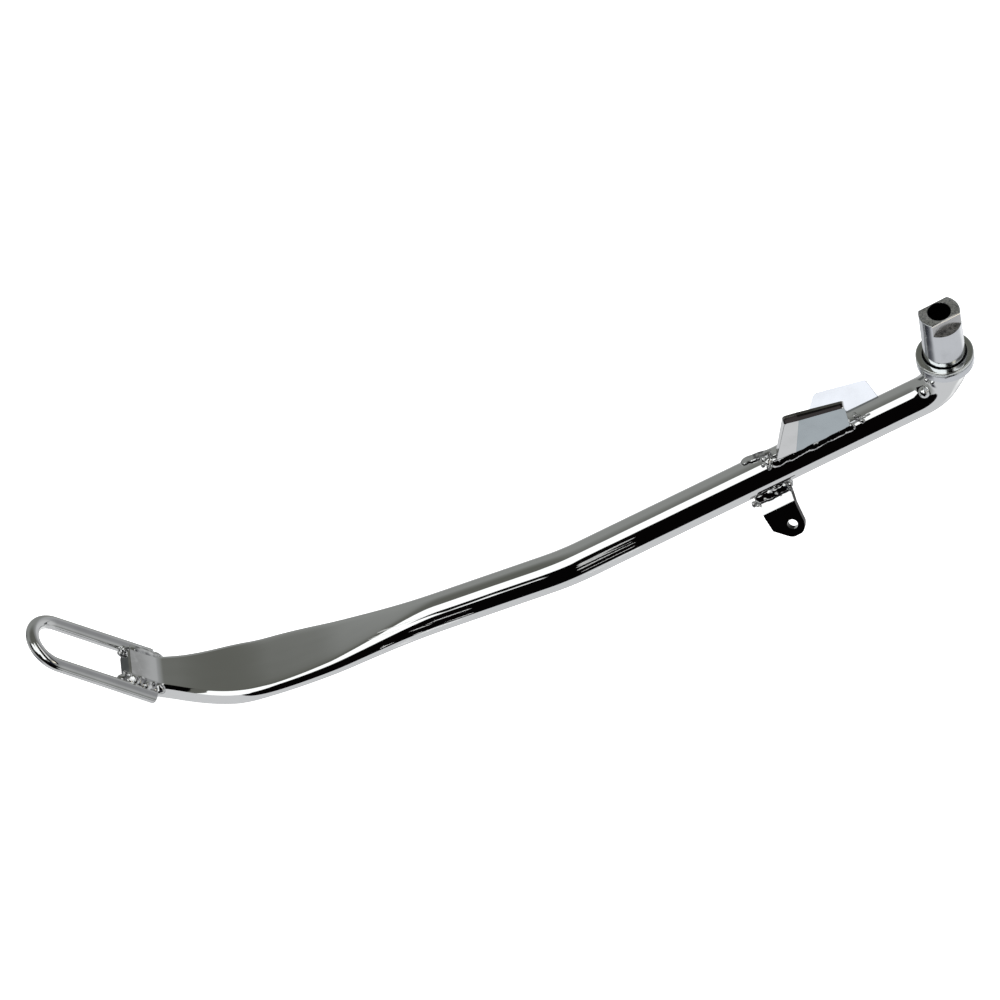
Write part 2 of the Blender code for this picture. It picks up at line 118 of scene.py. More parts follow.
# Outlines of the wings by distance along the leg and height over its centre. They run down
# into the bar, so that no gap shows at their weld.
WING_ROOT = BAR_RADIUS - 0.0015
NEAR_WING = ((0.0812, WING_ROOT), (0.0632, 0.0287), (0.0386, 0.0214), (0.0445, WING_ROOT))
FAR_WING = ((0.0684, WING_ROOT), (0.0566, 0.0204), (0.0331, 0.0163), (0.0303, WING_ROOT))
WING_CORNER_RADIUS = 0.0014
WING_ROOT_TOP = 0.016
# Across a cut top, where the painted black reflection on its near half gives way to painted gray
# reflection on its far half.
CUT_TOP_REFLECTION_SPLIT = 0.0006

# Which faces take another material, a finish or a painted reflection: how squarely they face a
# direction, and how high they are.
FULLY_FACING = 0.99
CUT_TOP_FACING = 0.75
CUT_TOP_ABOVE = 0.012
TAB_SIDE_FACING = 0.3

# How the post and the washer were turned and their edges broken.
TURNED_SIDES = 128
POST_NECK = 0.0006
POST_ROUNDING = 0.0005
WASHER_ROUNDING = 0.0007
FLAT_CHAMFER = 0.00045
BORE_EDGE = 0.0002
DRILL_POINT = 31
CUT_REACH = 0.02
CLOSE = 0.0001

# How a weld is drawn: distance between its sections, points round each, the length over
# which its width wanders, the sizes of its lumps and how much smaller lumps are lower.
WELD_STEP = 0.00040
WELD_SIDES = 24
WANDER_LENGTH = 0.0045
COARSE_LUMP = 0.0032
FINE_LUMP = 0.0011
FINE_LUMP_SHARE = 0.35

# The camera, level with the photograph's: far off, so that parallel lines stay parallel.
VIEW_AZIMUTH = 1.2
VIEW_ELEVATION = 48.75
VIEW_ROLL = -7.58
VIEW_WIDTH = 0.41085
VIEW_CENTRE = Vector((-0.1884, -0.0311, -0.0239))
VIEW_DISTANCE = 1.5


# ---------------------------------------------------------------- colours and materials

def shade(red, green, blue):
    """Linear colour from the three values, 0 to 255, that a picture shows."""
    linear = []
    for value in (red, green, blue):
        share = value / 255
        linear.append(share / 12.92 if share <= 0.04045 else ((share + 0.055) / 1.055) ** 2.4)
    return tuple(linear)


class NodeTree:
    """Short ways to add and join shader nodes."""

    def __init__(self, tree):
        self.tree = tree
        self.tree.nodes.clear()

    def add(self, kind, **settings):
        node = self.tree.nodes.new(kind)
        for key, value in settings.items():
            setattr(node, key, value)
        return node

    def link(self, source, target):
        self.tree.links.new(source, target)

    def feed(self, target, value):
        if isinstance(value, bpy.types.NodeSocket):
            self.link(value, target)
        else:
            target.default_value = value

    def math(self, operation, first, second=0.0):
        node = self.add("ShaderNodeMath", operation=operation)
        self.feed(node.inputs[0], first)
        self.feed(node.inputs[1], second)
        return node.outputs[0]

    def ramp(self, value, low, high, to_low=0.0, to_high=1.0):
        """Smooth change from to_low to to_high as the value goes from low to high."""
        node = self.add("ShaderNodeMapRange", interpolation_type="SMOOTHSTEP")
        self.feed(node.inputs["Value"], value)
        node.inputs["From Min"].default_value = low
        node.inputs["From Max"].default_value = high
        node.inputs["To Min"].default_value = to_low
        node.inputs["To Max"].default_value = to_high
        return node.outputs["Result"]

    def blend(self, share, first, second):
        node = self.add("ShaderNodeMix", data_type="RGBA")
        self.feed(node.inputs["Factor"], share)
        for letter, colour in (("A", first), ("B", second)):
            target = next(item for item in node.inputs if item.name == letter and item.type == "RGBA")
            is_socket = isinstance(colour, bpy.types.NodeSocket)
            self.feed(target, colour if is_socket else (*colour, 1.0))
        return next(item for item in node.outputs if item.type == "RGBA")

    def noise(self, position, scale, detail=2.0, roughness=0.5):
        node = self.add("ShaderNodeTexNoise")
        self.link(position, node.inputs["Vector"])
        node.inputs["Scale"].default_value = scale
        node.inputs["Detail"].default_value = detail
        node.inputs["Roughness"].default_value = roughness
        return node.outputs["Fac"]

    def stretched(self, position, scale):
        node = self.add("ShaderNodeMapping")
        self.link(position, node.inputs["Vector"])
        node.inputs["Scale"].default_value = scale
        return node.outputs["Vector"]

    def bump(self, height, distance, below=None):
        node = self.add("ShaderNodeBump")
        node.inputs["Strength"].default_value = 1.0
        node.inputs["Distance"].default_value = distance
        self.link(height, node.inputs["Height"])
        if below is not None:
            self.link(below, node.inputs["Normal"])
        return node.outputs["Normal"]

    def place(self):
        """Position on the piece: along, across and up its own bar or rod, or plain position."""
        flow = self.add("ShaderNodeAttribute", attribute_name="flow")
        return flow.outputs["Vector"]


# How often the patterns on the metal repeat to a metre, along, across and up a piece.
SMEARS = (60.0, 190.0, 190.0)
SLOW_WAVES = (45.0, 110.0, 110.0)
STREAKS = (16.0, 1300.0, 1300.0)
HEAT_MOTTLE = 260.0
EVEN_GRAIN = (1300.0, 1300.0, 60.0)
FINE_EVEN_GRAIN = (500.0, 500.0, 500.0)
LATHE_GRAIN = (400.0, 400.0, 5200.0)

# Polishing lines lie beyond this far to the near side, and thin out where a stretch ends.
STREAKED_SIDE = (-0.0040, -0.0052)
STREAK_FADE = 0.012
STREAK_THINNING = 0.3


def metal(name, base, roughness, ripple, grain, grain_depth, tint=None, tint_scale=90.0,
          scratches=None, heated=None):
    """Bright metal: a worn polish with slow ripple, fine grain and smears.

    ripple is the height of the polish's slow waves, and grain the stretch of the fine lines
    along, across and up the piece, with grain_depth their height. tint is the colour of the
    duller patches, and tint_scale how many there are to a metre. scratches are dull lines
    along the piece's near side: how dull they are, and the stretches of it that have them.
    heated is the stretch of it that weld heat left mottled.
    """
    material = bpy.data.materials.new(name)
    material.use_nodes = True
    nodes = NodeTree(material.node_tree)
    output = nodes.add("ShaderNodeOutputMaterial")
    shader = nodes.add("ShaderNodeBsdfPrincipled")
    shader.inputs["Metallic"].default_value = 1.0
    nodes.link(shader.outputs["BSDF"], output.inputs["Surface"])
    place = nodes.place()

    smears = nodes.noise(nodes.stretched(place, SMEARS), 1.0, 4.0, 0.6)
    worn = nodes.ramp(smears, 0.35, 0.75, roughness * 0.6, roughness * 1.5)
    nodes.link(worn, shader.inputs["Roughness"])

    dull = tint or tuple(channel * 0.93 for channel in base)
    parts = nodes.add("ShaderNodeSeparateXYZ")
    nodes.link(place, parts.inputs["Vector"])
    along = parts.outputs["X"]
    if heated:
        mottle = nodes.ramp(nodes.noise(place, HEAT_MOTTLE, 4.0), 0.15, 0.60)
        cloud = nodes.math("MULTIPLY", nodes.ramp(along, *heated), mottle)
    else:
        cloud = nodes.ramp(nodes.noise(place, tint_scale, 3.0), 0.40, 0.72)
    nodes.link(nodes.blend(cloud, base, dull), shader.inputs["Base Color"])

    wave_height = nodes.noise(nodes.stretched(place, SLOW_WAVES), 1.0, 1.0)
    normal = nodes.bump(wave_height, ripple)
    lines = nodes.noise(nodes.stretched(place, grain), 1.0, 3.0, 0.7)
    normal = nodes.bump(lines, grain_depth, normal)
    if scratches:
        dullness, stretches = scratches
        present = 0.0
        near_side = nodes.ramp(parts.outputs["Y"], *STREAKED_SIDE)
        for start, end in stretches:
            stretch = nodes.math("MULTIPLY", nodes.ramp(along, start, start + STREAK_FADE),
                                 nodes.ramp(along, end, end - STREAK_FADE))
            present = nodes.math("ADD", present, stretch)
        streaks = nodes.noise(nodes.stretched(place, STREAKS), 1.0, 1.0)
        missing = nodes.math("SUBTRACT", 1.0, nodes.math("MULTIPLY", present, near_side))
        thinned = nodes.math("SUBTRACT", streaks, nodes.math("MULTIPLY", missing, STREAK_THINNING))
        marks = nodes.ramp(thinned, 0.63, 0.67)
        polish = nodes.math("SUBTRACT", 1.0, nodes.math("MULTIPLY", marks, dullness))
        nodes.link(polish, shader.inputs["Metallic"])
    nodes.link(normal, shader.inputs["Normal"])
    return material


CHROME_BASE = (0.93, 0.935, 0.93)


def make_materials():
    return {
        "bar": metal(
            "polished_chrome_bar", CHROME_BASE, 0.030, 0.00006, (25.0, 1400.0, 1400.0), 0.0000008,
            tint=(0.66, 0.66, 0.65), scratches=(0.55, ((0.154, 0.200), (0.232, 0.294))),
            heated=(0.3810, 0.3890)),
        "rod": metal(
            "polished_chrome_rod", (0.85, 0.855, 0.85), 0.055, 0.00004, (40.0, 1600.0, 1600.0),
            0.0000040),
        "plate": metal(
            "chrome_on_plate", CHROME_BASE, 0.050, 0.00001, EVEN_GRAIN, 0.0000008),
        # Painted reflection: blue-gray tone for the near wing's face, short of its facet.
        "plate_painted_gray_reflection": metal(
            "chrome_plate_painted_gray_reflection", (0.60, 0.66, 0.69), 0.100, 0.00001, EVEN_GRAIN, 0.000001),
        # Painted reflection: pale blue tone for the far wing's face and edges.
        "plate_painted_pale_reflection": metal(
            "chrome_plate_painted_pale_reflection", (0.78, 0.80, 0.86), 0.080, 0.00001, EVEN_GRAIN, 0.000001),
        # Painted reflection: black and gray tones for the wings' cut tops, and black for the spring
        # tab's sides towards the post and its worn edges.
        "cut_painted_black_reflection": metal(
            "chrome_cut_painted_black_reflection", (0.035, 0.030, 0.030), 0.12, 0.00001, EVEN_GRAIN, 0.000002),
        "cut_painted_gray_reflection": metal(
            "chrome_cut_painted_gray_reflection", (0.42, 0.41, 0.40), 0.15, 0.00001, (400.0, 3000.0, 400.0), 0.00001,
            tint=(0.18, 0.17, 0.17)),
        "weld": metal(
            "chrome_on_weld", (0.88, 0.885, 0.88), 0.07, 0.00008, FINE_EVEN_GRAIN, 0.00004,
            tint=(0.20, 0.20, 0.21), tint_scale=420.0),
        "smooth_weld": metal(
            "chrome_on_smooth_weld", CHROME_BASE, 0.04, 0.00003, FINE_EVEN_GRAIN, 0.000002),
        "post": metal(
            "turned_steel", (0.84, 0.86, 0.89), 0.13, 0.00003, LATHE_GRAIN, 0.000002),
        "top": metal(
            "faced_steel", (1.0, 1.0, 1.0), 0.26, 0.00006, (2600.0, 2600.0, 2600.0), 0.00010,
            tint=(0.50, 0.51, 0.54), tint_scale=900.0),
        "milled": metal(
            "milled_steel", (0.68, 0.68, 0.68), 0.26, 0.00004, (1500.0, 1500.0, 3600.0), 0.00001),
        "ledge": metal(
            "milled_ledge", (0.36, 0.36, 0.36), 0.30, 0.00006, (2600.0, 900.0, 900.0), 0.00010,
            tint=(0.10, 0.10, 0.10), tint_scale=700.0),
        # Painted shade: near-black colour for the bore, its top chamfer, the post where it stands in the
        # washer's hole, and the washer's inner rim.
        "bore": metal(
            "bore_painted_shade", (0.020, 0.020, 0.022), 0.45, 0.00003, LATHE_GRAIN, 0.00002),
        "washer": metal(
            "washer_steel", (0.88, 0.90, 0.88), 0.10, 0.00002, (900.0, 900.0, 900.0), 0.0000015),
    }


# ---------------------------------------------------------------- mesh builders

def set_flow(mesh, flow):
    """Store where each point is on its piece: along, across and up it, or its plain position."""
    attribute = mesh.attributes.new("flow", "FLOAT_VECTOR", "POINT")
    for index, vertex in enumerate(mesh.vertices):
        attribute.data[index].vector = flow[index] if flow else vertex.co


def add_object(name, mesh_data):
    """Object in the scene with this mesh; the mesh data is used up."""
    mesh = bpy.data.meshes.new(name)
    mesh_data.to_mesh(mesh)
    mesh_data.free()
    added = bpy.data.objects.new(name, mesh)
    bpy.context.scene.collection.objects.link(added)
    return added


def finish_piece(name, mesh_data, material, body=LEG_BODY, replaced=(), crease=35.0,
                 flow=None):
    """Make the object, give it its material and where-it-is attribute, and ride it."""
    bmesh.ops.recalc_face_normals(mesh_data, faces=mesh_data.faces[:])
    piece = add_object(name, mesh_data)
    piece.data.materials.append(material)
    piece.data.shade_smooth()
    if crease:
        piece.data.set_sharp_from_angle(angle=math.radians(crease))
    set_flow(piece.data, flow)
    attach(piece, body)
    if replaced:
        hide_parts(*replaced)
    return piece


def loft(rings, mesh_data=None):
    """Skin a closed tube through rings with equal point counts, with a fan on both ends."""
    mesh_data = mesh_data or bmesh.new()
    loops = [[mesh_data.verts.new(point) for point in ring] for ring in rings]
    count = len(loops[0])
    for lower, upper in zip(loops, loops[1:]):
        for index in range(count):
            following = (index + 1) % count
            mesh_data.faces.new((lower[index], lower[following], upper[following], upper[index]))
    mesh_data.faces.new(list(reversed(loops[0])))
    mesh_data.faces.new(loops[-1])
    return mesh_data


def turn(profile, sides):
    """Turn a closed (radius, height) outline about +Z; radius 0 makes one centre point."""
    mesh_data = bmesh.new()
    rings = []
    for radius, height in profile:
        if radius == 0.0:
            rings.append([mesh_data.verts.new((0.0, 0.0, height))])
            continue
        angles = [2 * math.pi * index / sides for index in range(sides)]
        rings.append([mesh_data.verts.new((radius * math.cos(angle), radius * math.sin(angle), height))
                      for angle in angles])
    for first, second in zip(rings, rings[1:] + rings[:1]):
        if len(first) == 1 and len(second) == 1:
            continue
        for index in range(sides):
            following = (index + 1) % sides
            corners = [first[index % len(first)], first[following % len(first)],
                       second[following % len(second)], second[index % len(second)]]
            mesh_data.faces.new(list(dict.fromkeys(corners)))
    return mesh_data


def rounded(corners, radius, steps=4):
    """Round each corner of a (radius, height) outline with a short arc.

    Corners on the axis stay sharp, and so does the lower one of the shoulder.
    """
    result = []
    count = len(corners)
    for index, corner in enumerate(corners):
        on_axis = corner[0] == 0.0
        shoulder_low = corners[index - 1][0] == 0.0 and corner[1] < 0
        if on_axis or shoulder_low:
            result.append(corner)
            continue
        here = Vector(corner)
        before = Vector(corners[index - 1]) - here
        after = Vector(corners[(index + 1) % count]) - here
        reach = min(radius, before.length * 0.45, after.length * 0.45)
        start = here + before.normalized() * reach
        end = here + after.normalized() * reach
        for step in range(steps + 1):
            share = step / steps
            point = start.lerp(here, share).lerp(here.lerp(end, share), share)
            result.append((point.x, point.y))
    return result


def smooth_step(value, start, end):
    ratio = min(max((value - start) / (end - start), 0.0), 1.0)
    return ratio * ratio * (3 - 2 * ratio)


# ---------------------------------------------------------------- where things are on the leg

def pitch_direction(pitch):
    angle = math.radians(pitch)
    return Vector((-math.cos(angle), 0.0, -math.sin(angle)))


def leg_corner(index):
    corner = Vector((0.0, 0.0, -ELBOW_DEPTH))
    for length, pitch, _ in LEG_RUNS[:index]:
        corner = corner + pitch_direction(pitch) * length
    return corner


OUTWARD = pitch_direction(LEG_RUNS[0][1])
UPWARD = ACROSS.cross(OUTWARD)


def tilted(angle):
    """Upright and sideways directions in the upper leg's cross-section, tilted to +Y."""
    tilt = math.radians(angle)
    upright = UPWARD * math.cos(tilt) + ACROSS * math.sin(tilt)
    sideways = ACROSS * math.cos(tilt) - UPWARD * math.sin(tilt)
    return upright, sideways


def bend_points(corner, incoming, outgoing, radius, step=1.5):
    turn_angle = incoming.angle(outgoing)
    start = corner - incoming * (radius * math.tan(turn_angle / 2))
    centre_side = (outgoing - incoming * incoming.dot(outgoing)).normalized()
    centre = start + centre_side * radius
    count = max(3, math.ceil(math.degrees(turn_angle) / step))
    points = []
    for index in range(count + 1):
        angle = turn_angle * index / count
        spoke = incoming * math.sin(angle) - centre_side * math.cos(angle)
        points.append(centre + spoke * radius)
    return points


def refine(points, longest):
    result = [points[0]]
    for start, end in zip(points, points[1:]):
        count = max(1, math.ceil((end - start).length / longest))
        result += [start.lerp(end, (index + 1) / count) for index in range(count)]
    return result


def path_frames(points):
    """Distance from the start and direction at each point of a path."""
    distances = [0.0]
    for start, end in zip(points, points[1:]):
        distances.append(distances[-1] + (end - start).length)
    directions = []
    for index in range(len(points)):
        before = points[max(index - 1, 0)]
        after = points[min(index + 1, len(points) - 1)]
        directions.append((after - before).normalized())
    return distances, directions


# ---------------------------------------------------------------- leg and foot loop

def leg_centreline(top):
    corner = leg_corner(0)
    incoming = Vector((0.0, 0.0, -1.0))
    points = [Vector((0.0, 0.0, top))]
    for length, pitch, radius in LEG_RUNS:
        outgoing = pitch_direction(pitch)
        points += bend_points(corner, incoming, outgoing, radius)
        corner = corner + outgoing * length
        incoming = outgoing
    points.append(corner)
    return points


def leg_section(from_top, from_toe):
    """Width and thickness of the leg where it is this far from its ends."""
    swell = ELBOW_SWELL * (1 - smooth_step(from_top, 0.0, ELBOW_SWELL_LENGTH))
    flattening = 1 - smooth_step(from_toe, PADDLE_FULL_AT, PADDLE_START_AT)
    forged_width = 2 * BAR_RADIUS + (PADDLE_WIDTH - 2 * BAR_RADIUS) * flattening
    # Forging keeps the bar's area, here of a strip with half-round edges.
    bar_area = math.pi * BAR_RADIUS ** 2
    corner_loss = 1 - math.pi / 4
    root = math.sqrt(forged_width ** 2 - 4 * corner_loss * bar_area)
    thickness = (forged_width - root) / (2 * corner_loss)
    narrowing = 1 - smooth_step(from_toe, TOE_NARROW_TO, TOE_NARROW_FROM)
    toe_trim = (PADDLE_WIDTH - TOE_WIDTH) * narrowing
    return forged_width - toe_trim + swell, thickness + swell


def section_point(angle, half_width, half_height, squeeze, ground):
    """Point of a strip with bulged edges, or of a circle where it is as wide as high.

    squeeze is how blunt forging left the edges, and ground how far they are ground to a
    flat side with a bevel.
    """
    reach = half_height * (1 - EDGE_BLUNTNESS * squeeze)
    shift = (half_width - reach) * math.tanh(EDGE_QUICKNESS * math.cos(angle))
    share = abs(math.sin(angle))
    side = math.copysign(1.0, math.cos(angle))
    if share < BEVEL_FROM:
        flat_across = reach
        flat_height = (half_height - BEVEL_DROP) * share / BEVEL_FROM
    else:
        along = min((share - BEVEL_FROM) / (BEVEL_TO - BEVEL_FROM), 1.0)
        flat_across = reach - BEVEL_RUN * along
        flat_height = half_height - BEVEL_DROP * (1 - along)
        if share > BEVEL_TO:
            flat_across *= abs(math.cos(angle)) / math.sqrt(1 - BEVEL_TO ** 2)
    across = reach * math.cos(angle) * (1 - ground) + side * flat_across * ground
    height = abs(half_height * math.sin(angle)) * (1 - ground) + flat_height * ground
    return across + shift, math.copysign(height, math.sin(angle))


def sweep(points, sections, side_of, sides):
    """Rings along a path, with the straightened position of each point."""
    distances, directions = path_frames(points)
    total = distances[-1]
    rings = []
    flow = []
    for point, distance, direction in zip(points, distances, directions):
        half_width, half_height, squeeze, ground = sections(distance, total - distance)
        side, up = side_of(direction)
        ring = []
        for index in range(sides):
            angle = 2 * math.pi * (index + 0.5) / sides
            across, height = section_point(angle, half_width, half_height, squeeze, ground)
            ring.append(point + side * across + up * height)
            flow.append((distance, across, height))
        rings.append(ring)
    return rings, flow


def build_leg(materials):
    toe_round = 0.0008

    def sections(from_top, from_toe):
        width, thickness = leg_section(from_top, from_toe)
        inset = toe_round * (1 - smooth_step(from_toe, 0.0, toe_round))
        squeeze = 1 - smooth_step(from_toe, PADDLE_FULL_AT, PADDLE_START_AT)
        ground = 1 - smooth_step(from_toe, GRIND_FULL_AT, GRIND_START_AT)
        return width / 2 - inset, thickness / 2 - inset, squeeze, ground

    points = refine(leg_centreline(SHOULDER_BOTTOM), 0.0022)
    end = points[-1]
    back = (points[-2] - end).normalized()
    points[-1:] = [end + back * toe_round * share for share in (1.0, 0.6, 0.3, 0.1)] + [end]
    rings, flow = sweep(points, sections, lambda direction: (ACROSS, ACROSS.cross(direction)), 80)
    return finish_piece("leg_bar_chromed", loft(rings), materials["bar"], replaced=("leg_bar",),
                        flow=flow)


def loop_axes():
    outward = pitch_direction(-LOOP_PITCH)
    normal = ACROSS.cross(outward)
    start = leg_corner(len(LEG_RUNS) - 1) + outward * LOOP_SETBACK - normal * LOOP_DROP
    return start, outward, normal


def loop_point(along, across, height):
    start, outward, normal = loop_axes()
    return start + outward * along + ACROSS * across + normal * height


def build_foot_loop(materials):
    edge = 0.0004
    start, outward, normal = loop_axes()
    centre = start + outward * LOOP_STRAIGHT
    points = [start - ACROSS * LOOP_RADIUS]
    steps = 48
    for index in range(steps + 1):
        angle = math.pi * index / steps
        spoke = outward * math.sin(angle) - ACROSS * math.cos(angle)
        points.append(centre + spoke * LOOP_RADIUS)
    points.append(start + ACROSS * LOOP_RADIUS)
    points = refine(points, 0.002)
    points[:1] = [points[0], points[0] + outward * edge]
    points[-1:] = [points[-1] + outward * edge, points[-1]]

    def sections(from_start, from_end):
        inset = edge * max(0.0, 1 - min(from_start, from_end) / edge)
        return ROD_RADIUS - inset, ROD_RADIUS - inset, 0.0, 0.0

    rings, flow = sweep(points, sections, lambda direction: (direction.cross(normal), normal), 40)
    return finish_piece("foot_loop_chromed", loft(rings), materials["rod"], replaced=("foot_loop",),
                        flow=flow)


# ---------------------------------------------------------------- plates

def round_outline(corners, radius, steps=5):
    """Round each corner of a flat outline of points."""
    result = []
    for index, here in enumerate(corners):
        before = corners[index - 1] - here
        after = corners[(index + 1) % len(corners)] - here
        start = here + before.normalized() * radius
        end = here + after.normalized() * radius
        for step in range(steps + 1):
            share = step / steps
            result.append(start.lerp(here, share).lerp(here.lerp(end, share), share))
    return result


def add_bevel(piece, width, segments=3, angle=40.0):
    bevel = piece.modifiers.new("worn_edges", "BEVEL")
    bevel.width = width
    bevel.segments = segments
    bevel.limit_method = "ANGLE"
    bevel.angle_limit = math.radians(angle)
    bevel.harden_normals = True
    return bevel


def beyond(line, station, height):
    """Distance of a plate point past a line through two others, or 0 on its near side."""
    first, second = (Vector(end) for end in line)
    along = (second - first).normalized()
    away = Vector((station, height)) - first
    return max(0.0, along.x * away.y - along.y * away.x)


def segment_distance(outline, index, point):
    """Distance from a point to the outline's edge that starts at this index."""
    start = outline[index]
    edge = outline[(index + 1) % len(outline)] - start
    share = min(max((point - start).dot(edge) / edge.length_squared, 0.0), 1.0)
    return (point - start - edge * share).length


def build_wing(name, node, corners, tilt, offset, crown, slants, facet, finishes_and_painted_light, wear):
    """Plate wing, drawn through its thickness.

    crown lowers the sides of its cut top edge. slants are how far its end near the post leans
    away through the thickness, and how far its other end's top rises. facet is a line across
    the visible face and a slope: beyond the line the face falls away by that slope, as hand
    grinding leaves it. The materials given are for the edges, the face, and the cut top's near
    and far halves, some with painted reflection in their colour. wear is the rounding of its edges.
    """
    upright, sideways = tilted(tilt)
    line, slope = facet
    lean, rise = slants
    outline = round_outline([Vector(corner) for corner in corners], WING_CORNER_RADIUS)
    middle_station = sum(station for station, _ in corners) / len(corners)
    for end in line:
        place = min(range(len(outline)), key=lambda index: segment_distance(outline, index, Vector(end)))
        outline.insert(place + 1, Vector(end))
    layers = 9
    rings = []
    for layer in range(layers):
        across = -1 + 2 * layer / (layers - 1)
        through = (across + 1) / 2
        ring = []
        for station, height in outline:
            above_root = smooth_step(height, WING_ROOT, WING_ROOT_TOP)
            lowered = crown * across * across * above_root
            ground = slope * beyond(line, station, height) if layer == 0 else 0.0
            base = leg_corner(0) + sideways * (offset + WING_THICKNESS / 2 * across + ground)
            near_post = station < middle_station
            moved = lean * through if near_post else 0.0
            raised = 0.0 if near_post else rise * through * above_root
            ring.append(base + OUTWARD * (station + moved) + upright * (height - lowered + raised))
        rings.append(ring)
    mesh_data = loft(rings)
    mesh_data.verts.ensure_lookup_table()
    ends = [mesh_data.verts[index] for index, point in enumerate(outline)
            if any((point - Vector(end)).length < 0.000001 for end in line)]
    bmesh.ops.connect_verts(mesh_data, verts=ends)
    wing = finish_piece(name, mesh_data, finishes_and_painted_light[0], replaced=(node,), crease=2.0)
    for finish in finishes_and_painted_light[1:]:
        wing.data.materials.append(finish)
    middle = leg_corner(0) + sideways * offset
    for face in wing.data.polygons:
        place = Vector(face.center) - middle
        station, height = place.dot(OUTWARD), place.dot(upright)
        # Cut tops take the third and fourth materials, and the face short of the facet line takes the
        # second; on the near wing all three are painted reflection, on the far wing only the face's is.
        if face.normal.dot(upright) > CUT_TOP_FACING and height > CUT_TOP_ABOVE:
            face.material_index = 2 if place.dot(sideways) < CUT_TOP_REFLECTION_SPLIT else 3
        elif face.normal.dot(sideways) < -FULLY_FACING and beyond(line, station, height) <= 0.0:
            face.material_index = 1
    add_bevel(wing, wear)
    return wing


def build_tab(materials):
    """The spring tab keeps the CAD's own shape, with its sheared edges worn round; its sides towards the
    post and its worn edges carry painted black reflection.
    """
    mesh_data = bmesh.new()
    mesh_data.from_mesh(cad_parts["spring_tab"].data)
    bmesh.ops.remove_doubles(mesh_data, verts=mesh_data.verts, dist=0.00001)
    bmesh.ops.dissolve_limit(mesh_data, angle_limit=math.radians(0.5), verts=mesh_data.verts,
                             edges=mesh_data.edges)
    tab = finish_piece("spring_tab_chromed", mesh_data, materials["plate"], replaced=("spring_tab",),
                       crease=30.0)
    # The painted black reflection goes on the sides that face the post and on the worn edges.
    tab.data.materials.append(materials["cut_painted_black_reflection"])
    for face in tab.data.polygons:
        if face.normal.dot(OUTWARD) < -TAB_SIDE_FACING:
            face.material_index = 1
    worn_edges = add_bevel(tab, 0.0002, 2, 50.0)
    worn_edges.material = 1
    return tab


# ---------------------------------------------------------------- post and washer

def cutter(rings):
    """Object that a flat or a chamfer is cut with."""
    mesh_data = loft(rings)
    bmesh.ops.recalc_face_normals(mesh_data, faces=mesh_data.faces[:])
    return add_object("cutter", mesh_data)


def cut_away(body, tool):
    modifier = body.modifiers.new("flat", "BOOLEAN")
    modifier.operation = "DIFFERENCE"
    modifier.solver = "EXACT"
    modifier.object = tool


def apply_modifiers(piece):
    """Swap a piece's mesh for the one its modifiers make, and drop the modifiers."""
    graph = bpy.context.evaluated_depsgraph_get()
    made = bpy.data.meshes.new_from_object(piece.evaluated_get(graph))
    piece.modifiers.clear()
    piece.data = made
    if "flow" in made.attributes:
        made.attributes.remove(made.attributes["flow"])
    set_flow(made, None)


def flat_cutters(along, outward):
    """Tools for one flat and the chamfer on its top edge; outward is the way the flat faces."""
    half_width = FLATS_WIDTH / 2
    ends = (along * -CUT_REACH, along * CUT_REACH)
    wedge = ((-2, 1), (1, -2), (1, 1))
    chamfer = [[end + outward * (half_width + reach * FLAT_CHAMFER)
                + Vector((0.0, 0.0, POST_HEIGHT + rise * FLAT_CHAMFER)) for reach, rise in wedge]
               for end in ends]
    near = outward * half_width
    far = outward * (half_width + POST_RADIUS)
    base = [near + ends[0], near + ends[1], far + ends[1], far + ends[0]]
    low = Vector((0.0, 0.0, POST_HEIGHT - FLATS_HEIGHT))
    high = low + Vector((0.0, 0.0, CUT_REACH))
    flat = [[point + level for point in base] for level in (low, high)]
    return [cutter(chamfer), cutter(flat)]


def post_finish_or_shade(centre, normal, outward):
    """Name of the finish, or of the painted shade in the bore, of one face of the cut post; outward is
    the way its near flat faces.
    """
    reach = math.hypot(centre.x, centre.y)
    faces_up = normal.z > FULLY_FACING
    faces_flat = abs(normal.dot(outward)) > FULLY_FACING
    faces_chamfer = normal.dot((outward + Vector((0.0, 0.0, 1.0))).normalized()) > FULLY_FACING
    # The bore, its chamfer and the post inside the washer's hole get the near-black painted shade.
    in_bore = reach < BORE_RADIUS + BORE_EDGE and not faces_up
    in_washer = SHOULDER_TOP - CLOSE < centre.z < -CLOSE and reach < WASHER_BORE_RADIUS + 0.001
    if in_bore or in_washer:
        return "bore"
    if faces_up and centre.z > POST_HEIGHT - CLOSE:
        return "top"
    if faces_up and centre.z > POST_HEIGHT - FLATS_HEIGHT - 0.001:
        return "ledge"
    if faces_flat and centre.z > POST_HEIGHT - FLATS_HEIGHT:
        return "milled"
    if faces_chamfer and centre.z > POST_HEIGHT - FLAT_CHAMFER:
        return "smooth_weld"
    return "post"


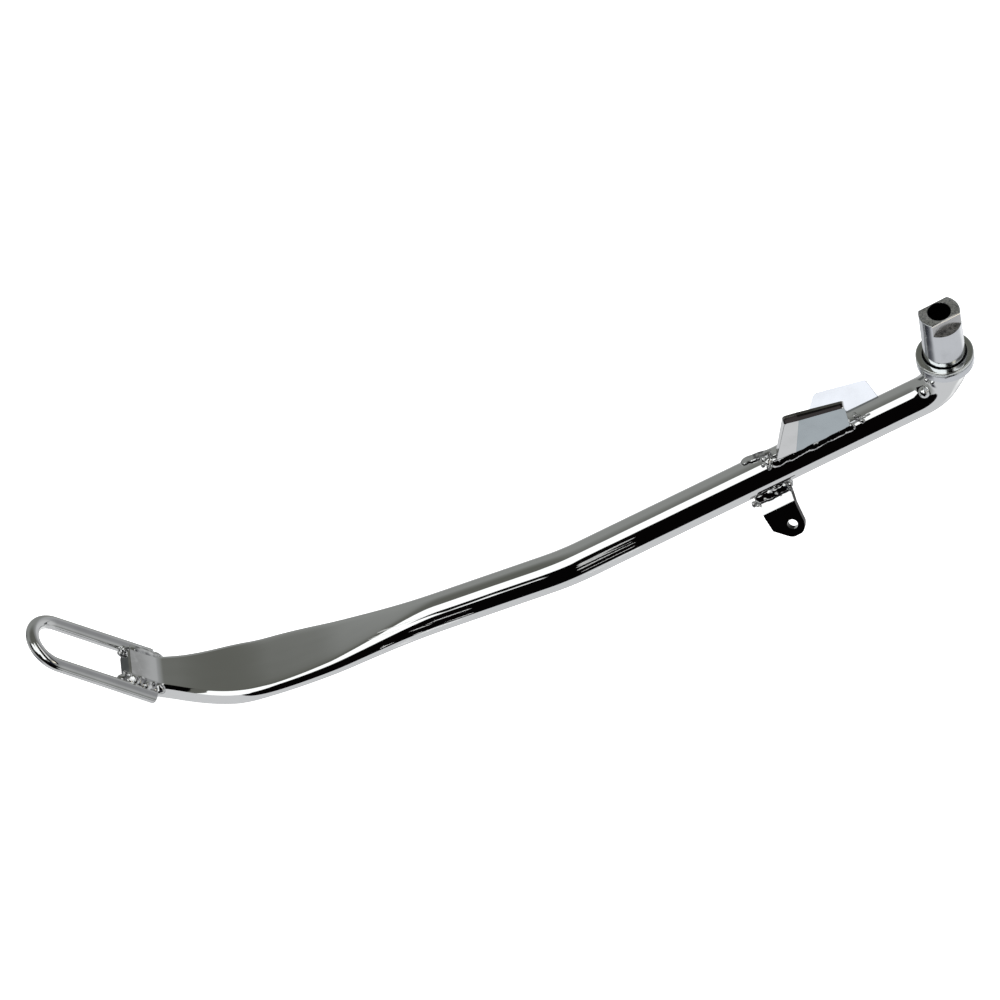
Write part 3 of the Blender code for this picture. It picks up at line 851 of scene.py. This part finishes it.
def build_post(materials):
    floor_height = POST_HEIGHT - BORE_DEPTH
    drilled_tip = BORE_RADIUS * math.tan(math.radians(DRILL_POINT))
    profile = [
        (0.0, SHOULDER_BOTTOM),
        (SHOULDER_RADIUS, SHOULDER_BOTTOM),
        (SHOULDER_RADIUS, SHOULDER_TOP),
        (POST_RADIUS + POST_NECK, SHOULDER_TOP),
        (POST_RADIUS, SHOULDER_TOP + POST_NECK),
        (POST_RADIUS, POST_HEIGHT),
        (BORE_RADIUS + BORE_EDGE, POST_HEIGHT),
        (BORE_RADIUS, POST_HEIGHT - BORE_EDGE),
        (BORE_RADIUS, floor_height),
        (0.0, floor_height - drilled_tip),
    ]
    turned = turn(rounded(profile, POST_ROUNDING), TURNED_SIDES)
    post = finish_piece("pivot_post_turned", turned, materials["post"],
                        replaced=("pivot_post",))
    angle = math.radians(FLATS_TURN)
    along = Vector((math.cos(angle), math.sin(angle), 0.0))
    outward = Vector((math.sin(angle), -math.cos(angle), 0.0))
    tools = flat_cutters(along, outward) + flat_cutters(along, -outward)
    for tool in tools:
        cut_away(post, tool)
    bpy.context.view_layer.update()
    apply_modifiers(post)
    for tool in tools:
        bpy.data.objects.remove(tool)
    post.data.set_sharp_from_angle(angle=math.radians(35))
    # "bore" is a near-black painted shade, in the bore and on the post where it stands in the washer.
    finishes_and_painted_light = ("post", "top", "milled", "ledge", "bore", "smooth_weld")
    for finish in finishes_and_painted_light[1:]:
        post.data.materials.append(materials[finish])
    for face in post.data.polygons:
        face.material_index = finishes_and_painted_light.index(post_finish_or_shade(face.center, face.normal, outward))
    return post


def build_washer(materials):
    corners = [
        (WASHER_BORE_RADIUS, -WASHER_THICKNESS),
        (WASHER_RADIUS, -WASHER_THICKNESS),
        (WASHER_RADIUS, 0.0),
        (WASHER_BORE_RADIUS, 0.0),
    ]
    turned = turn(rounded(corners, WASHER_ROUNDING), TURNED_SIDES)
    washer = finish_piece("thrust_washer_ground", turned, materials["washer"], body=WASHER_BODY,
                          replaced=("thrust_washer",))
    # Near-black painted shade on the washer's inner rim, where it meets the post.
    washer.data.materials.append(materials["bore"])
    for face in washer.data.polygons:
        if math.hypot(face.center.x, face.center.y) < WASHER_BORE_RADIUS + 0.0005:
            face.material_index = 1
    return washer


# ---------------------------------------------------------------- weld beads

def lump(point, seed, size):
    """Uneven height of cooled weld metal, from -1 to 1, with lumps of the given size."""
    shifted = point / size + Vector((seed * 7.3, seed * 3.1, seed * 5.7))
    return noise.noise(shifted) * 1.4


def add_strand(mesh_data, flow, points, facing, width, height, seed, lumps):
    """Add one run of weld along a path: oval, with its low side in the steel, and domed ends.

    facing gives the way it bulges at a point, and lumps how uneven it is.
    """
    points = refine(points, WELD_STEP)
    distances, directions = path_frames(points)
    total = distances[-1]
    rings = []
    for point, distance, direction in zip(points, distances, directions):
        bulge = facing(point)
        up = (bulge - direction * bulge.dot(direction)).normalized()
        side = direction.cross(up)
        fraction = min(min(distance, total - distance) / (width / 2), 1.0)
        dome = max(math.sqrt(max(0.0, 1 - (1 - fraction) ** 2)), 0.06)
        wander = 1 + lumps * noise.noise(Vector((distance / WANDER_LENGTH, seed * 2.7, 0.0)))
        ring = []
        for index in range(WELD_SIDES):
            angle = 2 * math.pi * index / WELD_SIDES
            outward = side * (math.cos(angle) * width / 2) + up * (math.sin(angle) * height)
            place = point + outward
            coarse = lump(place, seed, COARSE_LUMP)
            fine = lump(place, seed + 1, FINE_LUMP) * FINE_LUMP_SHARE
            local = outward * (dome * wander * (1 + lumps * (coarse + fine)))
            ring.append(point + local)
            flow.append((distance, local.dot(side), local.dot(up)))
        rings.append(ring)
    loft(rings, mesh_data)


def add_blob(mesh_data, flow, centre, radius, seed, bumpiness):
    """Add one round lump of spattered weld."""
    made = bmesh.ops.create_icosphere(mesh_data, subdivisions=3, radius=radius)
    for vertex in made["verts"]:
        away = vertex.co.copy()
        vertex.co = centre + away * (1 + bumpiness * lump(away + centre, seed, radius * 1.3))
        flow.append(tuple(vertex.co))


def build_weld(name, node, material, strands, blobs=(), seed=1, bumpiness=0.24):
    """One weld: runs of (path, facing, width, height, lumps) and blobs of (centre, radius).

    seed picks where its lumps are, and bumpiness is how uneven its blobs are.
    """
    mesh_data = bmesh.new()
    flow = []
    for index, (points, facing, width, height, lumps) in enumerate(strands):
        add_strand(mesh_data, flow, points, facing, width, height, seed + 5 * index, lumps)
    for index, (centre, radius) in enumerate(blobs):
        add_blob(mesh_data, flow, centre, radius, seed + index, bumpiness)
    return finish_piece(name, mesh_data, material, replaced=(node,), crease=0.0,
                        flow=flow)


def on_leg(station, tilt, height, sideways_shift=0.0):
    upright, sideways = tilted(tilt)
    return leg_corner(0) + OUTWARD * station + upright * height + sideways * sideways_shift


def on_bar(station, tilt, sink=0.0):
    return on_leg(station, tilt, BAR_RADIUS - sink)


def always(direction):
    return lambda point: direction


def build_wing_welds(weld):
    upright, sideways = tilted(NEAR_WING_TILT)
    near_face = NEAR_WING_OFFSET - WING_THICKNESS / 2
    back_face = NEAR_WING_OFFSET + WING_THICKNESS / 2
    corner_height = math.sqrt(BAR_RADIUS ** 2 - near_face ** 2)
    front = [on_leg(station, NEAR_WING_TILT, corner_height, near_face) for station in (0.0830, 0.0420)]
    ridge_tilt = -36.0
    ridge = [on_bar(station, ridge_tilt + wave, 0.00032) for station, wave in
             ((0.0815, 3.0), (0.0740, -1.0), (0.0660, 1.5), (0.0560, -1.0), (0.0460, 2.0),
              (0.0405, 6.0))]
    blobs = [(on_bar(station, tilt), radius) for station, tilt, radius in
             ((0.0836, -22, 0.0019), (0.0856, -10, 0.0016), (0.0872, 4, 0.0013), (0.0842, -40, 0.0012),
              (0.0866, -24, 0.0011), (0.0398, -22, 0.0016), (0.0384, -36, 0.0012), (0.0410, -8, 0.0013),
              (0.0370, -26, 0.0009))]
    build_weld("near_wing_front_bead", "near_wing_front_weld", weld,
               [(front, always(upright * 0.5 - sideways * 0.85), 0.0036, 0.0009, 0.17),
                (ridge, always(tilted(ridge_tilt)[0]), 0.0011, 0.00046, 0.10)], blobs, 3)
    back = [on_leg(station, NEAR_WING_TILT, BAR_RADIUS, back_face) for station in (0.0450, 0.0820)]
    tail = [on_bar(station, tilt, 0.0002) for station, tilt in
            ((0.0815, 2.0), (0.0880, 14.0), (0.0970, 26.0))]
    build_weld("near_wing_back_bead", "near_wing_back_weld", weld,
               [(back, always(upright * 0.7 + sideways * 0.7), 0.0036, 0.0010, 0.12),
                (tail, always(tilted(14.0)[0]), 0.0054, 0.0016, 0.03)], (), 5)
    far_upright, far_sideways = tilted(FAR_WING_TILT)
    far = [on_leg(station, FAR_WING_TILT, BAR_RADIUS, WING_THICKNESS / 2)
           for station in (0.0640, 0.0360)]
    build_weld("far_wing_bead", "far_wing_weld", weld,
               [(far, always(far_upright * 0.7 + far_sideways * 0.7), 0.0036, 0.0010, 0.12)], (), 8)


def build_tab_welds(weld):
    facing, _ = tilted(TAB_SIDE)
    down = facing.cross(OUTWARD)

    def tab_point(along, drop, front_distance):
        return leg_corner(0) + OUTWARD * (TAB_STATION + along) + down * drop + facing * front_distance

    front = [tab_point(along, 0.0092, -0.0002) for along in (-0.0085, 0.0085)]
    blobs = [(tab_point(along, drop, depth), radius) for along, drop, depth, radius in
             ((0.0092, 0.0100, 0.0002, 0.0014), (0.0080, 0.0112, 0.0004, 0.0009),
              (-0.0088, 0.0090, 0.0002, 0.0013), (-0.0080, 0.0110, 0.0002, 0.0010),
              (-0.0020, 0.0098, 0.0010, 0.0008), (0.0035, 0.0100, 0.0010, 0.0007))]
    build_weld("tab_front_bead", "tab_front_weld", weld,
               [(front, always(facing * 0.9 + down * 0.4), 0.0048, 0.0017, 0.14)], blobs, 11)
    back = [tab_point(along, 0.0088, -0.0050) for along in (-0.0085, 0.0085)]
    build_weld("tab_back_bead", "tab_back_weld", weld,
               [(back, always(down * 0.8 - facing * 0.6), 0.0040, 0.0014, 0.12)], (), 13)


def build_loop_welds(weld):
    _, _, normal = loop_axes()
    near = [loop_point(along, -across, height) for along, across, height in
            ((-0.0012, 0.0092, 0.0020), (0.0060, 0.0084, 0.0024), (0.0144, 0.0080, 0.0010))]
    near_blobs = [(loop_point(along, -across, height), radius) for along, across, height, radius in
                  ((-0.0008, 0.0086, 0.0026, 0.0026), (0.0022, 0.0080, 0.0034, 0.0014),
                   (0.0050, 0.0086, 0.0024, 0.0023), (0.0084, 0.0076, 0.0034, 0.0013),
                   (0.0110, 0.0078, 0.0022, 0.0024), (0.0136, 0.0066, 0.0026, 0.0014),
                   (0.0150, 0.0072, -0.0006, 0.0026), (0.0148, 0.0050, 0.0016, 0.0010))]
    build_weld("loop_near_bead", "loop_near_weld", weld,
               [(near, always(normal * 0.8 - ACROSS * 0.6), 0.0052, 0.0019, 0.26)], near_blobs, 17)
    far = [loop_point(along, across, height) for along, across, height in
           ((-0.0058, 0.0096, 0.0002), (-0.0020, 0.0094, 0.0014), (0.0040, 0.0090, 0.0020),
            (0.0125, 0.0088, 0.0020))]
    corner = [loop_point(along, across, height) for along, across, height in
              ((0.0118, 0.0084, 0.0026), (0.0144, 0.0078, 0.0010), (0.0146, 0.0064, -0.0014))]
    far_blobs = [(loop_point(along, across, height), radius) for along, across, height, radius in
                 ((0.0142, 0.0084, 0.0018, 0.0013), (0.0130, 0.0070, 0.0030, 0.0011),
                  (0.0150, 0.0070, 0.0000, 0.0012))]
    towards_post = normal * 0.6 - pitch_direction(LOOP_PITCH) * 0.5
    build_weld("loop_far_bead", "loop_far_weld", weld,
               [(far, always(normal * 0.9 + ACROSS * 0.3), 0.0068, 0.0022, 0.05),
                (corner, always(towards_post), 0.0036, 0.0016, 0.22)], far_blobs, 19)


def build_post_welds(smooth_weld):
    radius = BAR_RADIUS + ELBOW_SWELL / 2 - 0.0002
    height = SHOULDER_BOTTOM - 0.0006
    steps = 72
    angles = [2 * math.pi * index / steps for index in range(steps + 1)]
    ring = [Vector((radius * math.cos(angle), radius * math.sin(angle), height)) for angle in angles]

    def away_from_axis(point):
        return Vector((point.x, point.y, 0.0)).normalized()

    blobs = ((Vector((-0.0102, -0.0052, -0.0174)), 0.0026),
             (Vector((-0.0086, -0.0030, -0.0126)), 0.0014))
    build_weld("post_seam_bead", "post_seam_weld", smooth_weld,
               [(ring, away_from_axis, 0.0018, 0.0008, 0.06)], blobs, 23, bumpiness=0.02)


# ---------------------------------------------------------------- stage, light and camera

def towards_panel(across, lift):
    """Direction by its share to the right and its angle up from the near horizon."""
    angle = math.radians(lift)
    reach = math.sqrt(1 - across * across)
    return Vector((across, -reach * math.cos(angle), reach * math.sin(angle)))


# What stands round the object in the studio: name, colour, softness of its edge, and corners
# by direction. Later panels stand in front of earlier ones.
WHITE = (1.12, 1.14, 1.14)
PANELS = (
    ("white_sweep", shade(246, 247, 247), 0.100, ((0.26, -88), (0.55, -90), (0.55, -135), (0.26, -135))),
    ("dark_middle", shade(30, 32, 42), 0.030, ((-0.12, 20), (0.30, 40), (0.36, 8), (0.10, -2))),
    ("key_softbox", WHITE, 0.008,
     ((-0.86, 40), (-0.40, 20), (-0.42, 78), (-0.56, 89), (-0.86, 99))),
    ("key_softbox_wing", WHITE, 0.008,
     ((-0.44, 20), (-0.02, 36), (-0.03, 84), (-0.20, 100), (-0.36, 92))),
    ("dark_room", shade(5, 4, 4), 0.010,
     ((-0.66, -12), (-0.68, 40), (-0.43, 47), (-0.39, 20), (-0.40, -33), (-0.56, -24))),
    ("dark_left_low", shade(8, 7, 7), 0.012,
     ((-0.60, -22), (-0.94, -11), (-0.97, 40), (-0.90, 56), (-0.76, 49), (-0.62, 42))),
    ("dark_left", shade(8, 7, 7), 0.012,
     ((-0.90, 20), (-0.875, 62), (-0.885, 125), (-0.995, 150), (-0.995, -10))),
    ("dark_room_right", shade(5, 4, 4), 0.010,
     ((-0.44, 26), (-0.14, 25), (0.10, 2), (0.14, -38), (-0.10, -42), (-0.44, -32))),
    ("black_curtain", shade(4, 4, 4), 0.010, ((0.02, 36), (0.31, 36), (0.34, 96), (0.16, 98))),
    ("floor_flag", shade(40, 42, 50), 0.110, ((-0.80, -52), (-0.60, -56), (-0.64, -108), (-0.80, -108))),
    ("warm_lamp", (1.1, 1.02, 0.86), 0.010, ((0.45, 40), (0.66, 40), (0.66, 55), (0.45, 55))),
    ("white_card_right", shade(250, 250, 250), 0.015,
     ((0.36, 58), (0.50, 58), (0.50, 114), (0.36, 114))),
    ("dark_strip_right", shade(22, 22, 22), 0.020, ((0.59, 36), (0.69, 36), (0.69, 106), (0.59, 106))),
    ("dark_low_right", shade(8, 8, 8), 0.015, ((-0.02, -10), (0.42, -10), (0.42, 12), (-0.02, 12))),
    ("far_left_dark", shade(84, 87, 87), 0.020,
     ((-0.82, -144), (-0.62, -144), (-0.62, -174), (-0.82, -174))),
)
# What the panels stand in front of, and what the camera sees behind the object.
WALL = shade(93, 94, 89)
WALL_LOW = shade(136, 138, 136)
FLOOR_SEEN = shade(200, 201, 203)
RIGHT_HIGH = shade(140, 141, 143)
RIGHT_LOW = shade(194, 195, 196)
BACKDROP = (1.0, 1.0, 1.0)


def build_world():
    world = bpy.data.worlds.new("studio")
    bpy.context.scene.world = world
    world.use_nodes = True
    nodes = NodeTree(world.node_tree)
    towards = nodes.add("ShaderNodeTexCoord").outputs["Generated"]
    parts = nodes.add("ShaderNodeSeparateXYZ")
    nodes.link(towards, parts.inputs["Vector"])
    rightward, _, upward = parts.outputs

    colour = nodes.blend(nodes.ramp(upward, 0.80, 0.40), WALL, WALL_LOW)
    right_side = nodes.blend(nodes.ramp(upward, 0.50, 0.00), RIGHT_HIGH, RIGHT_LOW)
    colour = nodes.blend(nodes.ramp(rightward, 0.35, 0.80), colour, right_side)
    colour = nodes.blend(nodes.ramp(upward, -0.20, -0.52), colour, FLOOR_SEEN)
    for _, panel_colour, softness, corners in PANELS:
        rays = [towards_panel(across, lift) for across, lift in corners]
        middle = sum(rays, Vector()).normalized()
        inside = 1.0
        for first, second in zip(rays, rays[1:] + rays[:1]):
            edge = first.cross(second).normalized()
            if edge.dot(middle) < 0:
                edge = -edge
            dot = nodes.add("ShaderNodeVectorMath", operation="DOT_PRODUCT")
            nodes.link(towards, dot.inputs[0])
            dot.inputs[1].default_value = edge
            step = nodes.ramp(dot.outputs["Value"], -softness, softness)
            inside = nodes.math("MULTIPLY", inside, step)
        colour = nodes.blend(inside, colour, panel_colour)

    light_path = nodes.add("ShaderNodeLightPath")
    seen = nodes.blend(light_path.outputs["Is Camera Ray"], colour, BACKDROP)
    background = nodes.add("ShaderNodeBackground")
    nodes.link(seen, background.inputs["Color"])
    output = nodes.add("ShaderNodeOutputWorld")
    nodes.link(background.outputs["Background"], output.inputs["Surface"])


def build_floor():
    """Pale table, lit from within so that the object throws no shadow on it."""
    mesh_data = bmesh.new()
    bmesh.ops.create_grid(mesh_data, x_segments=8, y_segments=8, size=4.0)
    floor = add_object("floor", mesh_data)
    floor.location = (VIEW_CENTRE.x, 0.0, CAD_LOW.z - 0.0005)
    material = bpy.data.materials.new("pale_table")
    material.use_nodes = True
    shader = material.node_tree.nodes["Principled BSDF"]
    shader.inputs["Base Color"].default_value = (0.9, 0.9, 0.9, 1.0)
    shader.inputs["Roughness"].default_value = 0.6
    shader.inputs["Emission Color"].default_value = (1.0, 1.0, 1.0, 1.0)
    shader.inputs["Emission Strength"].default_value = 1.0
    floor.data.materials.append(material)
    floor.visible_glossy = False


def build_light():
    data = bpy.data.lights.new("overhead_softbox", "AREA")
    data.shape = "RECTANGLE"
    data.size = 1.2
    data.size_y = 0.8
    data.energy = 8.0
    light = bpy.data.objects.new("overhead_softbox", data)
    light.location = (VIEW_CENTRE.x, -0.2, 1.2)
    light.visible_glossy = False
    bpy.context.scene.collection.objects.link(light)


def build_camera():
    azimuth = math.radians(VIEW_AZIMUTH)
    elevation = math.radians(VIEW_ELEVATION)
    roll = math.radians(VIEW_ROLL)
    back = Vector((math.sin(azimuth) * math.cos(elevation),
                   -math.cos(azimuth) * math.cos(elevation), math.sin(elevation)))
    level = Vector((math.cos(azimuth), math.sin(azimuth), 0.0))
    lifted = back.cross(level)
    right = level * math.cos(roll) + lifted * math.sin(roll)
    up = back.cross(right)
    data = bpy.data.cameras.new("camera")
    data.type = "ORTHO"
    data.ortho_scale = VIEW_WIDTH
    data.clip_start = 0.01
    data.clip_end = 20.0
    camera = bpy.data.objects.new("camera", data)
    rotation = Matrix((right, up, back)).transposed().to_4x4()
    camera.matrix_world = Matrix.Translation(VIEW_CENTRE + back * VIEW_DISTANCE) @ rotation
    bpy.context.scene.collection.objects.link(camera)
    bpy.context.scene.camera = camera


def main():
    materials = make_materials()
    build_leg(materials)
    build_foot_loop(materials)
    # Near wing: chrome edges and facet, painted blue-gray reflection on its face, and painted black and
    # gray reflection on its cut top.
    near_finishes_and_reflections = ("plate", "plate_painted_gray_reflection", "cut_painted_black_reflection", "cut_painted_gray_reflection")
    build_wing("near_wing_chromed", "near_stop_wing", NEAR_WING, NEAR_WING_TILT, NEAR_WING_OFFSET,
               crown=0.00030, slants=(0.0, 0.0010), wear=0.00022,
               facet=(((0.0575, 0.02703), (0.0715, WING_ROOT)), 0.05),
               finishes_and_painted_light=[materials[finish] for finish in near_finishes_and_reflections])
    # Far wing: painted pale reflection on its edges and face, plain chrome on its cut top.
    far_finishes_and_reflections = ("plate_painted_pale_reflection", "plate_painted_pale_reflection", "plate", "plate")
    build_wing("far_wing_chromed", "far_stop_wing", FAR_WING, FAR_WING_TILT, 0.0,
               crown=0.00015, slants=(0.0020, 0.0), wear=0.00006,
               facet=(((0.0660, WING_ROOT), (0.0545, 0.02004)), 0.03),
               finishes_and_painted_light=[materials[finish] for finish in far_finishes_and_reflections])
    build_tab(materials)
    build_post(materials)
    build_washer(materials)
    for build_welds in (build_wing_welds, build_tab_welds, build_loop_welds):
        build_welds(materials["weld"])
    build_post_welds(materials["smooth_weld"])
    build_world()
    build_floor()
    build_light()
    build_camera()
    bpy.context.scene.view_settings.view_transform = "Standard"


main()
